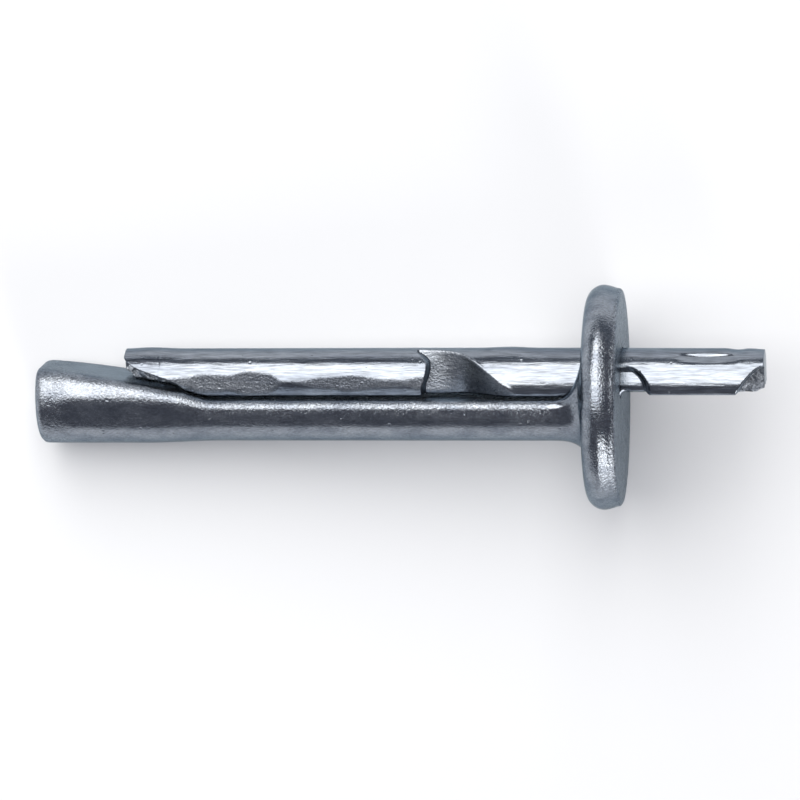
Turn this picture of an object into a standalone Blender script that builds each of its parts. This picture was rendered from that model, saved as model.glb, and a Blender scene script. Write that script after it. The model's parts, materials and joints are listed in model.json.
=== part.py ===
"""A hammer drive anchor for a 6 mm hole, lying on its side as it comes to rest.

Two pieces: a cold-formed body with a disc head, a half-round shank and a ramp at its tip, and a
D-section drive pin that lies on the shank's flat and passes through the head.

Both are modelled along the anchor's own axis. X runs along the shank, from the tip to the struck end
of the pin, with X = 0 on the underside of the head. Y points out of the shank's flat, and Z to the
side on which the pin is notched. An empty then rolls and tilts them to the resting pose.
"""

import math

import bmesh
import bpy
from mathutils import Matrix, Vector

MM = 0.001

# Shank: half of a round bar, with its flat through the bar's axis
SHANK_RADIUS = 3.0 * MM
SHANK_LENGTH = 35.35 * MM
FLAT_HEIGHT = 0.0 * MM
LONG_EDGE_RADIUS = 0.55 * MM
TIP_EDGE_RADIUS = 0.5 * MM
TIP_FLAT_EDGE = 0.15 * MM
TIP_SWELL = 0.15 * MM
TIP_SWELL_LENGTH = 5.0 * MM

# Ramp: rises from the flat to the tip, steeper at its foot than at its end
RAMP_LENGTH = 11.8 * MM
RAMP_RISE = 1.97 * MM
RAMP_CURVE = 1.35
RAMP_FOOT_BLEND = 2.4 * MM
RAMP_FOOT = RAMP_LENGTH - SHANK_LENGTH

# Head: a disc that forging has left a little off the shank's axis, away from the flat
HEAD_RADIUS = 7.25 * MM
HEAD_THICKNESS = 2.25 * MM
HEAD_OFFSET = 0.21 * MM
UNDERSIDE_CORNER = 0.9 * MM
TOP_CORNER = 0.28 * MM
RIM_DRAFT = 0.2 * MM

# Collar: the fillet under the head, and the rise of the flat into it beside the pin
COLLAR_LENGTH = 2.1 * MM
COLLAR_FLARE = 1.5 * MM
FLAT_END_RISE = 6.0 * MM
COLLAR_SINK = 0.03 * MM
FLAT_BELOW_CROWN = 0.06 * MM
SHANK_ROOT = 0.7 * MM

# Drive pin: a round wire pressed flat on one side
PIN_RADIUS = 2.2 * MM
PIN_HEIGHT = 2.68 * MM
PIN_EDGE_RADIUS = 0.3 * MM
PIN_ON_RAMP = 6.2 * MM
PIN_PROUD = 9.1 * MM
PIN_TIP = RAMP_FOOT - PIN_ON_RAMP
PIN_END = HEAD_THICKNESS + PIN_PROUD
PIN_SEAT_GAP = 0.3 * MM
HOLE_CLEARANCE = 0.25 * MM

# Two rollers have pressed shallow scoops in the side of the pin, one after the other
SCOOP_LENGTHS = (8.0 * MM, 9.15 * MM)
SCOOP_DEPTH = 0.3 * MM
FIRST_SCOOP_FROM_TIP = 2.4 * MM
SCOOP_ANGLE = math.radians(-4)

# Notch beside the second scoop: a chisel cut with an upright wall and a twisted floor that runs out
NOTCH_LENGTH = 5.7 * MM
NOTCH_LEVEL = 2.1 * MM
NOTCH_DEPTH = 1.6 * MM
NOTCH_ANGLE = math.radians(5)
NOTCH_TWIST = math.radians(-25)

# Grip dent: pressed in the side of the pin where it leaves the head
GRIP_LENGTH = 3.4 * MM
GRIP_DEPTH = 0.7 * MM
GRIP_CORNER = 0.35 * MM
GRIP_WALL_FROM_HEAD = 1.9 * MM
GRIP_ANGLE = math.radians(0)

# Rub: a long shallow groove worn in the far side of the proud end
RUB_LENGTH = 6.6 * MM
RUB_WIDTH = 1.2 * MM
RUB_ROUNDNESS = 0.5 * MM
RUB_DEPTH = 0.14 * MM
RUB_FROM_HEAD = 5.4 * MM
RUB_ANGLE = math.radians(62)

# Sheared ends of the pin: the front of each corner is cut away, and the back is torn
SHEAR_BACK = 0.3 * MM
TIP_SHEAR_LENGTH = 2.9 * MM
TIP_SHEAR_HEIGHT = 1.25 * MM
END_SHEAR_LENGTH = 1.9 * MM
END_SHEAR_HEIGHT = 1.75 * MM
TEAR_LENGTH = 0.55 * MM
TEAR_HEIGHT = 0.45 * MM
TEAR_TEETH = 4
TEAR_TOOTH = 0.12 * MM

# Resting pose: the anchor lies on the rim of its head and on its tip, rolled a little
ROLL = math.radians(10)

# Smoothness
SHANK_ARC_STEPS = 36
PIN_ARC_STEPS = 30
EDGE_STEPS = 3
HEAD_STEPS = 48
CUT_STEPS = 10
CUTTER_REACH = 4 * MM

STEEL_COLOUR = (0.62, 0.66, 0.72, 1.0)
PIN_COLOUR = (0.66, 0.69, 0.74, 1.0)


def clear_scene():
    for thing in list(bpy.data.objects):
        bpy.data.objects.remove(thing, do_unlink=True)


def make_material(name, colour, roughness, metallic):
    finish = bpy.data.materials.new(name)
    finish.use_nodes = True
    shader = finish.node_tree.nodes["Principled BSDF"]
    shader.inputs["Base Color"].default_value = colour
    shader.inputs["Roughness"].default_value = roughness
    shader.inputs["Metallic"].default_value = metallic
    return finish


def make_object(name, bm, finish=None):
    """Closes the mesh's normals outwards and links it to the scene as one smooth object."""
    bmesh.ops.remove_doubles(bm, verts=bm.verts, dist=1e-7)
    bmesh.ops.recalc_face_normals(bm, faces=bm.faces)
    mesh = bpy.data.meshes.new(name)
    bm.to_mesh(mesh)
    bm.free()
    mesh.shade_smooth()
    mesh.set_sharp_from_angle(angle=math.radians(30))
    thing = bpy.data.objects.new(name, mesh)
    if finish:
        mesh.materials.append(finish)
    bpy.context.scene.collection.objects.link(thing)
    return thing


def make_helper(name, bm, carrier):
    """A solid that only shapes its carrier, so it isn't rendered."""
    helper = make_object(name, bm)
    helper.hide_render = True
    helper.display_type = "WIRE"
    helper.parent = carrier
    return helper


def combine(target, helper, operation):
    modifier = target.modifiers.new(helper.name, "BOOLEAN")
    modifier.operation = operation
    modifier.solver = "EXACT"
    modifier.object = helper


def arc(centre, radius, start, end, steps):
    """Points (a, b) on an arc, from the start angle to the end angle in degrees."""
    for step in range(steps + 1):
        angle = math.radians(start + (end - start) * step / steps)
        yield (
            centre[0] + radius * math.cos(angle),
            centre[1] + radius * math.sin(angle),
        )


def d_section(radius, flat, corner, steps):
    """Points (z, y) of a circle cut off at height flat, with both corners rounded."""
    reach, rise = radius - corner, flat - corner
    spread = math.sqrt(reach**2 - rise**2)
    lean = math.degrees(math.atan2(rise, spread))
    near_corner = list(arc((spread, rise), corner, 90, lean, EDGE_STEPS))
    back = list(arc((0, 0), radius, lean, -180 - lean, steps))
    far_corner = list(arc((-spread, rise), corner, -180 - lean, -270, EDGE_STEPS))
    return near_corner + back[1:] + far_corner[1:]


def quarter_ellipse(along):
    """How far a fillet has risen, from 0 to 1, at a share of its length from 0 to 1."""
    return 1 - math.sqrt(max(0.0, 1 - along**2))


def smooth_step(share):
    """An S-curve from 0 to 1."""
    share = min(1.0, max(0.0, share))
    return share**2 * (3 - 2 * share)


def ramp_height(x):
    """Height of the shank's flat at x, with the ramp's foot blended into it."""
    climbed = min(RAMP_LENGTH, max(0.0, RAMP_FOOT - x))
    rise = RAMP_RISE * (1 - (1 - climbed / RAMP_LENGTH) ** RAMP_CURVE)
    return FLAT_HEIGHT + rise * smooth_step(climbed / RAMP_FOOT_BLEND)


def shank_section(x):
    """The body's section at x, as (radius, height of the flat)."""
    if x >= -COLLAR_LENGTH:
        fillet = quarter_ellipse(min(1.0, 1 + x / COLLAR_LENGTH))
        radius = SHANK_RADIUS + COLLAR_FLARE * fillet
        return radius, min(FLAT_HEIGHT + FLAT_END_RISE * fillet, radius - FLAT_BELOW_CROWN)
    swell = TIP_SWELL * smooth_step((RAMP_FOOT - x) / TIP_SWELL_LENGTH)
    return SHANK_RADIUS + swell, ramp_height(x)


def loft(bm, sections):
    """Joins sections of equal point counts, each given as (x, [(z, y), ...]), into a closed solid."""
    rings = []
    for x, outline in sections:
        points = [bm.verts.new((x, y, z)) for z, y in outline]
        rings.append([bm.edges.new((a, b)) for a, b in zip(points, points[1:] + points[:1])])
    for ring in (rings[0], rings[-1]):
        bmesh.ops.contextual_create(bm, geom=ring)
    for near, far in zip(rings, rings[1:]):
        bmesh.ops.bridge_loops(bm, edges=near + far)


def add_prism(bm, outline, low, high):
    """A solid with the outline [(x, y), ...], from low to high along Z."""
    floor = bm.faces.new([bm.verts.new((x, y, low)) for x, y in outline])
    grown = bmesh.ops.extrude_face_region(bm, geom=[floor])["geom"]
    top = [part for part in grown if isinstance(part, bmesh.types.BMVert)]
    bmesh.ops.translate(bm, verts=top, vec=(0, 0, high - low))


def ramp_foot_stations():
    """Places along the blend at the ramp's foot, from the ramp to the flat."""
    steps = 2 * EDGE_STEPS
    return [RAMP_FOOT - RAMP_FOOT_BLEND * (1 - step / steps) for step in range(steps + 1)]


def make_shank():
    """The half-round shank with its ramp and collar, ending inside the head."""
    stations = []
    for step in range(EDGE_STEPS):
        turn = math.radians(90 * step / EDGE_STEPS)
        stations.append((-SHANK_LENGTH + TIP_EDGE_RADIUS * (1 - math.cos(turn)), 1 - math.sin(turn)))
    ramp_run = RAMP_LENGTH - RAMP_FOOT_BLEND - TIP_EDGE_RADIUS
    stations += [
        (-SHANK_LENGTH + TIP_EDGE_RADIUS + ramp_run * step / CUT_STEPS, 0)
        for step in range(CUT_STEPS)
    ]
    stations += [(x, 0) for x in ramp_foot_stations()]
    stations += [
        (-COLLAR_LENGTH * math.cos(math.radians(90 * step / CUT_STEPS)), 0)
        for step in range(CUT_STEPS)
    ]
    stations.append((COLLAR_SINK, 0))
    stations.append((SHANK_ROOT, 0))
    sections = []
    for x, rounding in stations:
        radius, flat = shank_section(x)
        radius -= TIP_EDGE_RADIUS * rounding
        flat -= TIP_FLAT_EDGE * rounding
        sections.append((x, d_section(radius, flat, LONG_EDGE_RADIUS, SHANK_ARC_STEPS)))
    bm = bmesh.new()
    loft(bm, sections)
    return bm


def make_head():
    """The disc head, turned from half of its section, with one facet of the rim facing down."""
    rim_start = HEAD_RADIUS - UNDERSIDE_CORNER
    top_rim = HEAD_RADIUS - RIM_DRAFT - TOP_CORNER
    rim_width = HEAD_THICKNESS - UNDERSIDE_CORNER - TOP_CORNER
    lean = math.degrees(math.atan2(RIM_DRAFT, rim_width))
    underside = arc((UNDERSIDE_CORNER, rim_start), UNDERSIDE_CORNER, 180, 90, 2 * EDGE_STEPS)
    top = arc((HEAD_THICKNESS - TOP_CORNER, top_rim), TOP_CORNER, 90 - lean, 0, EDGE_STEPS)
    profile = [(0, 0), *underside, *top, (HEAD_THICKNESS, 0)]
    bm = bmesh.new()
    points = [bm.verts.new((x, radius, 0)) for x, radius in profile]
    edges = [bm.edges.new(pair) for pair in zip(points, points[1:])]
    half_facet = math.pi / HEAD_STEPS
    turned = Matrix.Rotation(half_facet - math.pi / 2 - ROLL, 3, "X")
    bmesh.ops.rotate(bm, verts=points, cent=(0, 0, 0), matrix=turned)
    bmesh.ops.spin(
        bm,
        geom=points + edges,
        cent=(0, 0, 0),
        axis=(1, 0, 0),
        angle=2 * math.pi,
        steps=HEAD_STEPS,
        use_merge=True,
    )
    bmesh.ops.translate(bm, verts=bm.verts, vec=(0, -HEAD_OFFSET, 0))
    return bm


def pin_axis_height():
    """Height of the middle of the pin's round side over the shank's axis."""
    return FLAT_HEIGHT + PIN_SEAT_GAP + PIN_HEIGHT - PIN_RADIUS


def pin_outline(clearance):
    """The pin's D section, flat side down and at its own height, grown by a clearance."""
    radius = PIN_RADIUS + clearance
    flat = PIN_HEIGHT - PIN_RADIUS + clearance
    outline = d_section(radius, flat, PIN_EDGE_RADIUS + clearance, PIN_ARC_STEPS)
    return [(z, pin_axis_height() - y) for z, y in outline]


def make_pin_hole():
    bm = bmesh.new()
    outline = pin_outline(HOLE_CLEARANCE)
    loft(bm, [(-2 * COLLAR_LENGTH, outline), (2 * HEAD_THICKNESS, outline)])
    return bm


def make_ramp_relief():
    """The space that the ramp and its gap take from the underside of the pin's tip."""
    run = RAMP_LENGTH - RAMP_FOOT_BLEND
    under = FLAT_HEIGHT - PIN_SEAT_GAP
    places = [-SHANK_LENGTH + run * step / CUT_STEPS for step in range(CUT_STEPS)]
    places += ramp_foot_stations()[:-1]
    outline = [(x, ramp_height(x) + PIN_SEAT_GAP) for x in places]
    bm = bmesh.new()
    add_prism(bm, [*outline, (RAMP_FOOT, under), (-SHANK_LENGTH, under)], -CUTTER_REACH, CUTTER_REACH)
    return bm


def make_pin_bar():
    bm = bmesh.new()
    outline = pin_outline(0)
    loft(bm, [(PIN_TIP, outline), (PIN_END, outline)])
    return bm


def make_press(profile, angle, twist=0.0, twist_length=1.0):
    """A tool that presses the pin's side. Its profile is [(x, depth), ...], and angle is that of the
    pressed face, up from the side of the pin. Twist turns the face along its first stretch."""
    surface = [(x, PIN_RADIUS - depth) for x, depth in profile]
    clear = [(x, PIN_RADIUS + CUTTER_REACH) for x, depth in reversed(profile)]
    bm = bmesh.new()
    add_prism(bm, surface + clear, -CUTTER_REACH, CUTTER_REACH)
    for vert in bm.verts:
        turned = angle + twist * min(1.0, (vert.co.x - profile[0][0]) / twist_length)
        vert.co.rotate(Matrix.Rotation(math.pi / 2 - turned, 3, "X"))
    bmesh.ops.translate(bm, verts=bm.verts, vec=(0, pin_axis_height(), 0))
    return bm


def scoop_profile(start, length):
    """A shallow arc whose ends lie on the pin's side."""
    steps = range(CUT_STEPS + 1)
    return [
        (start + length * step / CUT_STEPS, SCOOP_DEPTH * (1 - (2 * step / CUT_STEPS - 1) ** 2))
        for step in steps
    ]


def notch_profile(start):
    """An upright wall, then a level floor that climbs out in an S-curve."""
    climb = NOTCH_LENGTH - NOTCH_LEVEL
    profile = [(start, NOTCH_DEPTH), (start + NOTCH_LEVEL / 2, NOTCH_DEPTH)]
    for step in range(CUT_STEPS + 1):
        share = step / CUT_STEPS
        profile.append((start + NOTCH_LEVEL + climb * share, NOTCH_DEPTH * (1 - smooth_step(share))))
    return profile


def grip_profile(wall):
    """A floor that deepens towards the struck end and turns up into a rounded wall."""
    rounded = arc((wall - GRIP_CORNER, GRIP_DEPTH - GRIP_CORNER), GRIP_CORNER, 90, 0, EDGE_STEPS)
    return [(wall - GRIP_LENGTH, 0), *rounded]


def make_rub():
    """An egg that dips into the far side of the pin and leaves a long groove there."""
    lift = PIN_RADIUS + RUB_ROUNDNESS - RUB_DEPTH
    bm = bmesh.new()
    bmesh.ops.create_uvsphere(bm, u_segments=2 * CUT_STEPS, v_segments=CUT_STEPS, radius=1.0)
    bmesh.ops.scale(bm, verts=bm.verts, vec=(RUB_LENGTH / 2, RUB_WIDTH / 2, RUB_ROUNDNESS))
    bmesh.ops.translate(bm, verts=bm.verts, vec=(HEAD_THICKNESS + RUB_FROM_HEAD, 0, lift))
    bmesh.ops.rotate(bm, verts=bm.verts, cent=(0, 0, 0), matrix=Matrix.Rotation(-RUB_ANGLE, 3, "X"))
    bmesh.ops.translate(bm, verts=bm.verts, vec=(0, pin_axis_height(), 0))
    return bm


def pin_underside(x):
    return ramp_height(x) + PIN_SEAT_GAP


def corner_cut(end, towards, length, height):
    """The triangle that shearing takes off a lower corner of the pin, seen from the side."""
    foot = end + towards * length
    top, bottom = pin_underside(end) + height, pin_underside(foot)
    fall = (top - bottom) / length
    past = PIN_SEAT_GAP / fall
    outside = end - towards * CUTTER_REACH
    return [
        (outside, top),
        (end, top),
        (foot + towards * past, bottom - PIN_SEAT_GAP),
        (outside, bottom - PIN_SEAT_GAP),
    ]


def torn_edge(end, towards):
    """The ragged outline that tearing leaves behind the sheared corner."""
    bottom = pin_underside(end)
    outside = end - towards * CUTTER_REACH
    outline = [(outside, bottom + TEAR_HEIGHT), (end - towards * TEAR_TOOTH, bottom + TEAR_HEIGHT)]
    for tooth in range(1, TEAR_TEETH + 1):
        share = tooth / TEAR_TEETH
        jag = TEAR_TOOTH * (tooth % 2)
        outline.append(
            (end + towards * (TEAR_LENGTH * share - jag), bottom + TEAR_HEIGHT * (1 - share))
        )
    outline.append((end + towards * TEAR_LENGTH, bottom - TEAR_HEIGHT))
    outline.append((outside, bottom - TEAR_HEIGHT))
    return outline


def shear_corner(name, pin, end, towards, length, height):
    """Cuts a lower corner of the pin: clean through its front, torn through its back."""
    front = bmesh.new()
    add_prism(front, corner_cut(end, towards, length, height), SHEAR_BACK, CUTTER_REACH)
    combine(pin, make_helper(f"{name}_shear", front, pin), "DIFFERENCE")
    back = bmesh.new()
    add_prism(back, torn_edge(end, towards), -CUTTER_REACH, CUTTER_REACH)
    combine(pin, make_helper(f"{name}_tear", back, pin), "DIFFERENCE")


def build_body(steel):
    body = make_object("anchor_body", make_shank(), steel)
    combine(body, make_helper("head_disc", make_head(), body), "UNION")
    combine(body, make_helper("pin_hole", make_pin_hole(), body), "DIFFERENCE")
    return body


def build_pin(steel):
    pin = make_object("drive_pin", make_pin_bar(), steel)
    combine(pin, make_helper("ramp_relief", make_ramp_relief(), pin), "DIFFERENCE")
    start = PIN_TIP + FIRST_SCOOP_FROM_TIP
    for number, length in enumerate(SCOOP_LENGTHS, 1):
        press = make_press(scoop_profile(start, length), SCOOP_ANGLE)
        combine(pin, make_helper(f"scoop_{number}", press, pin), "DIFFERENCE")
        start += length
    notch = make_press(notch_profile(start), NOTCH_ANGLE, NOTCH_TWIST, NOTCH_LENGTH / 2)
    combine(pin, make_helper("notch", notch, pin), "DIFFERENCE")
    grip = make_press(grip_profile(HEAD_THICKNESS + GRIP_WALL_FROM_HEAD), GRIP_ANGLE)
    combine(pin, make_helper("grip_dent", grip, pin), "DIFFERENCE")
    combine(pin, make_helper("rub", make_rub(), pin), "DIFFERENCE")
    shear_corner("tip", pin, PIN_TIP, 1, TIP_SHEAR_LENGTH, TIP_SHEAR_HEIGHT)
    shear_corner("end", pin, PIN_END, -1, END_SHEAR_LENGTH, END_SHEAR_HEIGHT)
    return pin


def world_corners(things):
    """The lowest and highest corner of the finished things in the world."""
    bpy.context.view_layer.update()
    graph = bpy.context.evaluated_depsgraph_get()
    points = []
    for thing in things:
        finished = thing.evaluated_get(graph)
        points += [finished.matrix_world @ vert.co for vert in finished.data.vertices]
    low = Vector([min(point[axis] for point in points) for axis in range(3)])
    high = Vector([max(point[axis] for point in points) for axis in range(3)])
    return low, high


def lay_down(things):
    """Tilts the anchor until it lies on its rim and its tip, with the middle of its footprint at the
    origin and its lowest point at Z = 0."""
    axis = bpy.data.objects.new("anchor_axis", None)
    bpy.context.scene.collection.objects.link(axis)
    for thing in things:
        thing.parent = axis
    drop = HEAD_RADIUS + HEAD_OFFSET * math.sin(ROLL) - SHANK_RADIUS - TIP_SWELL
    run = SHANK_LENGTH - TIP_EDGE_RADIUS + UNDERSIDE_CORNER
    axis.rotation_euler = (ROLL, -math.atan2(drop, run), 0)
    low, high = world_corners(things)
    middle = (low + high) / 2
    axis.location = (-middle.x, -middle.y, -low.z)


def main():
    clear_scene()
    body = build_body(make_material("body_steel", STEEL_COLOUR, 0.3, 1.0))
    pin = build_pin(make_material("pin_steel", PIN_COLOUR, 0.25, 1.0))
    lay_down([body, pin])


main()
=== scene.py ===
"""The looks of a hammer drive anchor that lies on a pale table, seen from straight above.

The anchor is one cold-formed body and one drive pin. Both are shaped along the anchor's own axis: X runs
along the shank, with X = 0 on the underside of the head, Y points out of the shank's flat, and Z to the
side on which the pin is notched. The resting pose then lays them where the frame's solids lie.
"""

import json
import logging
import math
from dataclasses import dataclass, field
from enum import Enum
from typing import Any, Callable

import bmesh
import bpy
import numpy as np
from mathutils import Euler, Matrix, Vector, noise


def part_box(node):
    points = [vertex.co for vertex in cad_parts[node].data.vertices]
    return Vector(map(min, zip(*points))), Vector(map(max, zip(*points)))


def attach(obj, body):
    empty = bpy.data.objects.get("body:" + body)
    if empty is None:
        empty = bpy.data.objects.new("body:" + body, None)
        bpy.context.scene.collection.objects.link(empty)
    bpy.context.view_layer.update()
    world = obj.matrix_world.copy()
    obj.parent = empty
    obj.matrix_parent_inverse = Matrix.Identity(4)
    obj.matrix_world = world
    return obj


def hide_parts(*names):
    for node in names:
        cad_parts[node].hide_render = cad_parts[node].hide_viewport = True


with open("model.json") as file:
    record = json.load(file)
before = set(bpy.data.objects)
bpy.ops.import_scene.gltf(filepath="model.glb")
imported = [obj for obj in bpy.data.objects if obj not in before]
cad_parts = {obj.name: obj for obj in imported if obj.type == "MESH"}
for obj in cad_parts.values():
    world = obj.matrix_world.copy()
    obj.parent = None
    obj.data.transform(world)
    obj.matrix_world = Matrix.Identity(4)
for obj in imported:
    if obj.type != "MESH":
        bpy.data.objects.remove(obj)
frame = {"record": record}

LOG = logging.getLogger("hammer_drive_anchor")
MM = 0.001
COARSE = "coarse"
MERGE_DISTANCE = 1e-7
RAY_REACH = 1.5
HALVINGS = 24
SHARP_ANGLE = math.radians(50)
Array = np.ndarray
Pair = tuple[float, float]
Triple = tuple[float, float, float]
Waves = tuple[float, float, float, float]
Knots = tuple[Pair, ...]
Socket = bpy.types.NodeSocket
Piece = bpy.types.Object


def smooth_step(share: Array | float) -> Array:
    """An S-curve from 0 to 1."""
    share = np.clip(share, 0.0, 1.0)
    return share**2 * (3 - 2 * share)


def smooth_max(first: Array, second: Array, softness: float) -> Array:
    """The larger of two distances, with the edge between them rounded.

    Args:
        first: Distances outside one surface.
        second: Distances outside the other.
        softness: Width of the rounding.

    Returns:
        Distances outside the solid that both surfaces bound.
    """
    blend = np.maximum(softness - np.abs(first - second), 0.0)
    return np.maximum(first, second) + blend**2 / (4 * softness)


def swing_through(x: Array, knots: Knots) -> Array:
    """Follows a row of knots with an S-curve between each two.

    Args:
        x: Places, in metres.
        knots: Pairs of a place and the value there, in millimetres.

    Returns:
        The value at each place, in metres.
    """
    places, values = MM * np.array(knots).T
    left = np.clip(np.searchsorted(places, x) - 1, 0, len(places) - 2)
    share = smooth_step((x - places[left]) / (places[left + 1] - places[left]))
    return values[left] + share * (values[left + 1] - values[left])


def bell(x: Array, middle: float, width: float) -> Array:
    """A rounded bump of height 1."""
    return np.exp(-(((x - middle) / width) ** 2))


def ripple(first: Array, second: Array, waves: Waves) -> Array:
    """Bent waves over two coordinates, from their height, two sizes and bend."""
    height, first_size, second_size, bend = waves
    return height * np.sin(first / first_size + bend * np.sin(second / second_size))


def dips(points: Array, kind: Triple) -> Array:
    """How deep smooth noise dips at each point.

    Args:
        points: Places, one row each, in metres.
        kind: The mean depth, the size of one dip, and a seed, so that two patterns differ.

    Returns:
        One depth for each point, from 0 to twice the mean.
    """
    depth, scale, seed = kind
    shift = Vector((seed, seed, seed))
    return depth * (1 + np.array([noise.noise(Vector(point) / scale + shift) for point in points]))


def draw_blank(rings: int, segments: int) -> bmesh.types.BMesh:
    """Draws a tube of radius 1 with one ring of points at each whole number along X.

    Args:
        rings: Number of rings.
        segments: Points in each ring.

    Returns:
        The open tube, to be shaped.
    """
    bm = bmesh.new()
    upright = Matrix.Rotation(math.pi / 2, 4, "Y")
    bmesh.ops.create_circle(bm, segments=segments, radius=1.0, matrix=upright)
    edges = list(bm.edges)
    for _ in range(rings - 1):
        grown = bmesh.ops.extrude_edge_only(bm, edges=edges)["geom"]
        points = {part for part in grown if isinstance(part, bmesh.types.BMVert)}
        edges = [part for part in grown if isinstance(part, bmesh.types.BMEdge) and set(part.verts) <= points]
        bmesh.ops.translate(bm, verts=list(points), vec=(1.0, 0.0, 0.0))
    return bm


def shape_blank(bm: bmesh.types.BMesh, place: Callable[[Array, Array], Array]) -> None:
    """Moves each point of a blank, closes its ends to a point and turns its faces outwards.

    Args:
        bm: The blank, from draw_blank.
        place: Gives the places of points from their ring numbers and their angles, in radians, from +Z
            towards +Y.
    """
    marks = np.array([vert.co for vert in bm.verts])
    rings = np.rint(marks[:, 0]).astype(int)
    angles = np.arctan2(marks[:, 1], marks[:, 2])
    for vert, spot in zip(bm.verts, place(rings, angles)):
        vert.co = spot
    bmesh.ops.remove_doubles(bm, verts=bm.verts, dist=MERGE_DISTANCE)
    bmesh.ops.recalc_face_normals(bm, faces=bm.faces)


def surface_along(outside: Callable[[Array, Array], Array], start: Array, aim: Array) -> Array:
    """Finds where rays from inside a section leave it.

    Args:
        outside: Distance outside the section at given Y and Z.
        start: Where each ray starts, as rows of Y and Z.
        aim: Where each ray points, as rows of Y and Z. The surface lies before half as far again.

    Returns:
        The places on the surface, as rows of Y and Z.
    """
    near = np.zeros(len(start))
    far = np.full(len(start), RAY_REACH)
    for _ in range(HALVINGS):
        middle = (near + far) / 2
        spots = start + middle[:, None] * (aim - start)
        out = outside(spots[:, 0], spots[:, 1]) > 0
        far = np.where(out, middle, far)
        near = np.where(out, near, middle)
    return start + near[:, None] * (aim - start)


def finish_mesh(name: str, bm: bmesh.types.BMesh) -> Piece:
    """Links a shaped mesh to the scene as one smooth object at the origin.

    Args:
        name: The name of the object and of its mesh.
        bm: The shaped mesh. It is freed.

    Returns:
        The object.
    """
    mesh = bpy.data.meshes.new(name)
    bm.to_mesh(mesh)
    bm.free()
    mesh.shade_smooth()
    piece = bpy.data.objects.new(name, mesh)
    bpy.context.scene.collection.objects.link(piece)
    return piece


def cut_away(piece: Piece, cutter: Piece) -> None:
    """Takes a cutter's solid out of a piece, and removes the cutter.

    Args:
        piece: The piece, which has no other modifier.
        cutter: A closed solid.
    """
    cut = piece.modifiers.new(cutter.name, "BOOLEAN")
    cut.operation = "DIFFERENCE"
    cut.solver = "EXACT"
    cut.object = cutter
    graph = bpy.context.evaluated_depsgraph_get()
    blank = piece.data
    name = blank.name
    piece.data = bpy.data.meshes.new_from_object(piece.evaluated_get(graph))
    piece.modifiers.clear()
    bpy.data.objects.remove(cutter)
    bpy.data.meshes.remove(blank)
    piece.data.name = name
    piece.data.shade_smooth()
    piece.data.set_sharp_from_angle(angle=SHARP_ANGLE)


def mark_coarse(piece: Piece, share: Callable[[Array], Array]) -> None:
    """Stores how coarse the steel is at each point, for its finish to read.

    Args:
        piece: The piece, still along the anchor's own axes.
        share: Gives the coarseness, from 0 to 1, of rows of points.
    """
    mesh = piece.data
    spots = np.empty(3 * len(mesh.vertices))
    mesh.vertices.foreach_get("co", spots)
    layer = mesh.attributes.new(COARSE, "FLOAT", "POINT")
    layer.data.foreach_set("value", np.clip(share(spots.reshape(-1, 3)), 0.0, 1.0))


class NodeBench:
    """Adds nodes to one node tree and joins them."""

    def __init__(self, tree: bpy.types.NodeTree) -> None:
        """Takes the tree to work on."""
        self.tree = tree

    def feed(self, node: bpy.types.Node, inputs: dict[str, Any]) -> None:
        """Sets a node's inputs to values, or joins them to sockets.

        Args:
            node: The node to feed.
            inputs: Values or sockets, by the name of the input.
        """
        for name, value in inputs.items():
            if isinstance(value, Socket):
                self.tree.links.new(value, node.inputs[name])
            else:
                node.inputs[name].default_value = value

    def add(self, kind: str, inputs: dict[str, Any], output: str, **settings: Any) -> Socket:
        """Adds a node.

        Args:
            kind: The node's type.
            inputs: Values or sockets for its inputs, by name.
            output: Name of the output that is needed.
            settings: Properties of the node.

        Returns:
            The output.
        """
        node = self.tree.nodes.new(kind)
        for name, value in settings.items():
            setattr(node, name, value)
        self.feed(node, inputs)
        return node.outputs[output]

    def remap(self, value: Socket, start: Pair, end: Pair) -> Socket:
        """Maps the start range of a value to the end range, and holds it outside."""
        ranges = {"From Min": start[0], "From Max": start[1], "To Min": end[0], "To Max": end[1]}
        return self.add("ShaderNodeMapRange", {"Value": value, **ranges}, "Result")

    def math(self, operation: str, first: Any, second: Any) -> Socket:
        """Joins two values by one operation.

        Args:
            operation: The operation's name.
            first: A value or a socket.
            second: Another.

        Returns:
            The outcome.
        """
        node = self.tree.nodes.new("ShaderNodeMath")
        node.operation = operation
        for socket, value in zip(node.inputs, (first, second)):
            if isinstance(value, Socket):
                self.tree.links.new(value, socket)
            else:
                socket.default_value = value
        return node.outputs["Value"]

    def blend(self, share: Socket, first: Any, second: Any) -> Socket:
        """Mixes two colours."""
        inputs = {"Factor": share, "A": first, "B": second}
        return self.add("ShaderNodeMix", inputs, "Result", data_type="RGBA")


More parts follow.
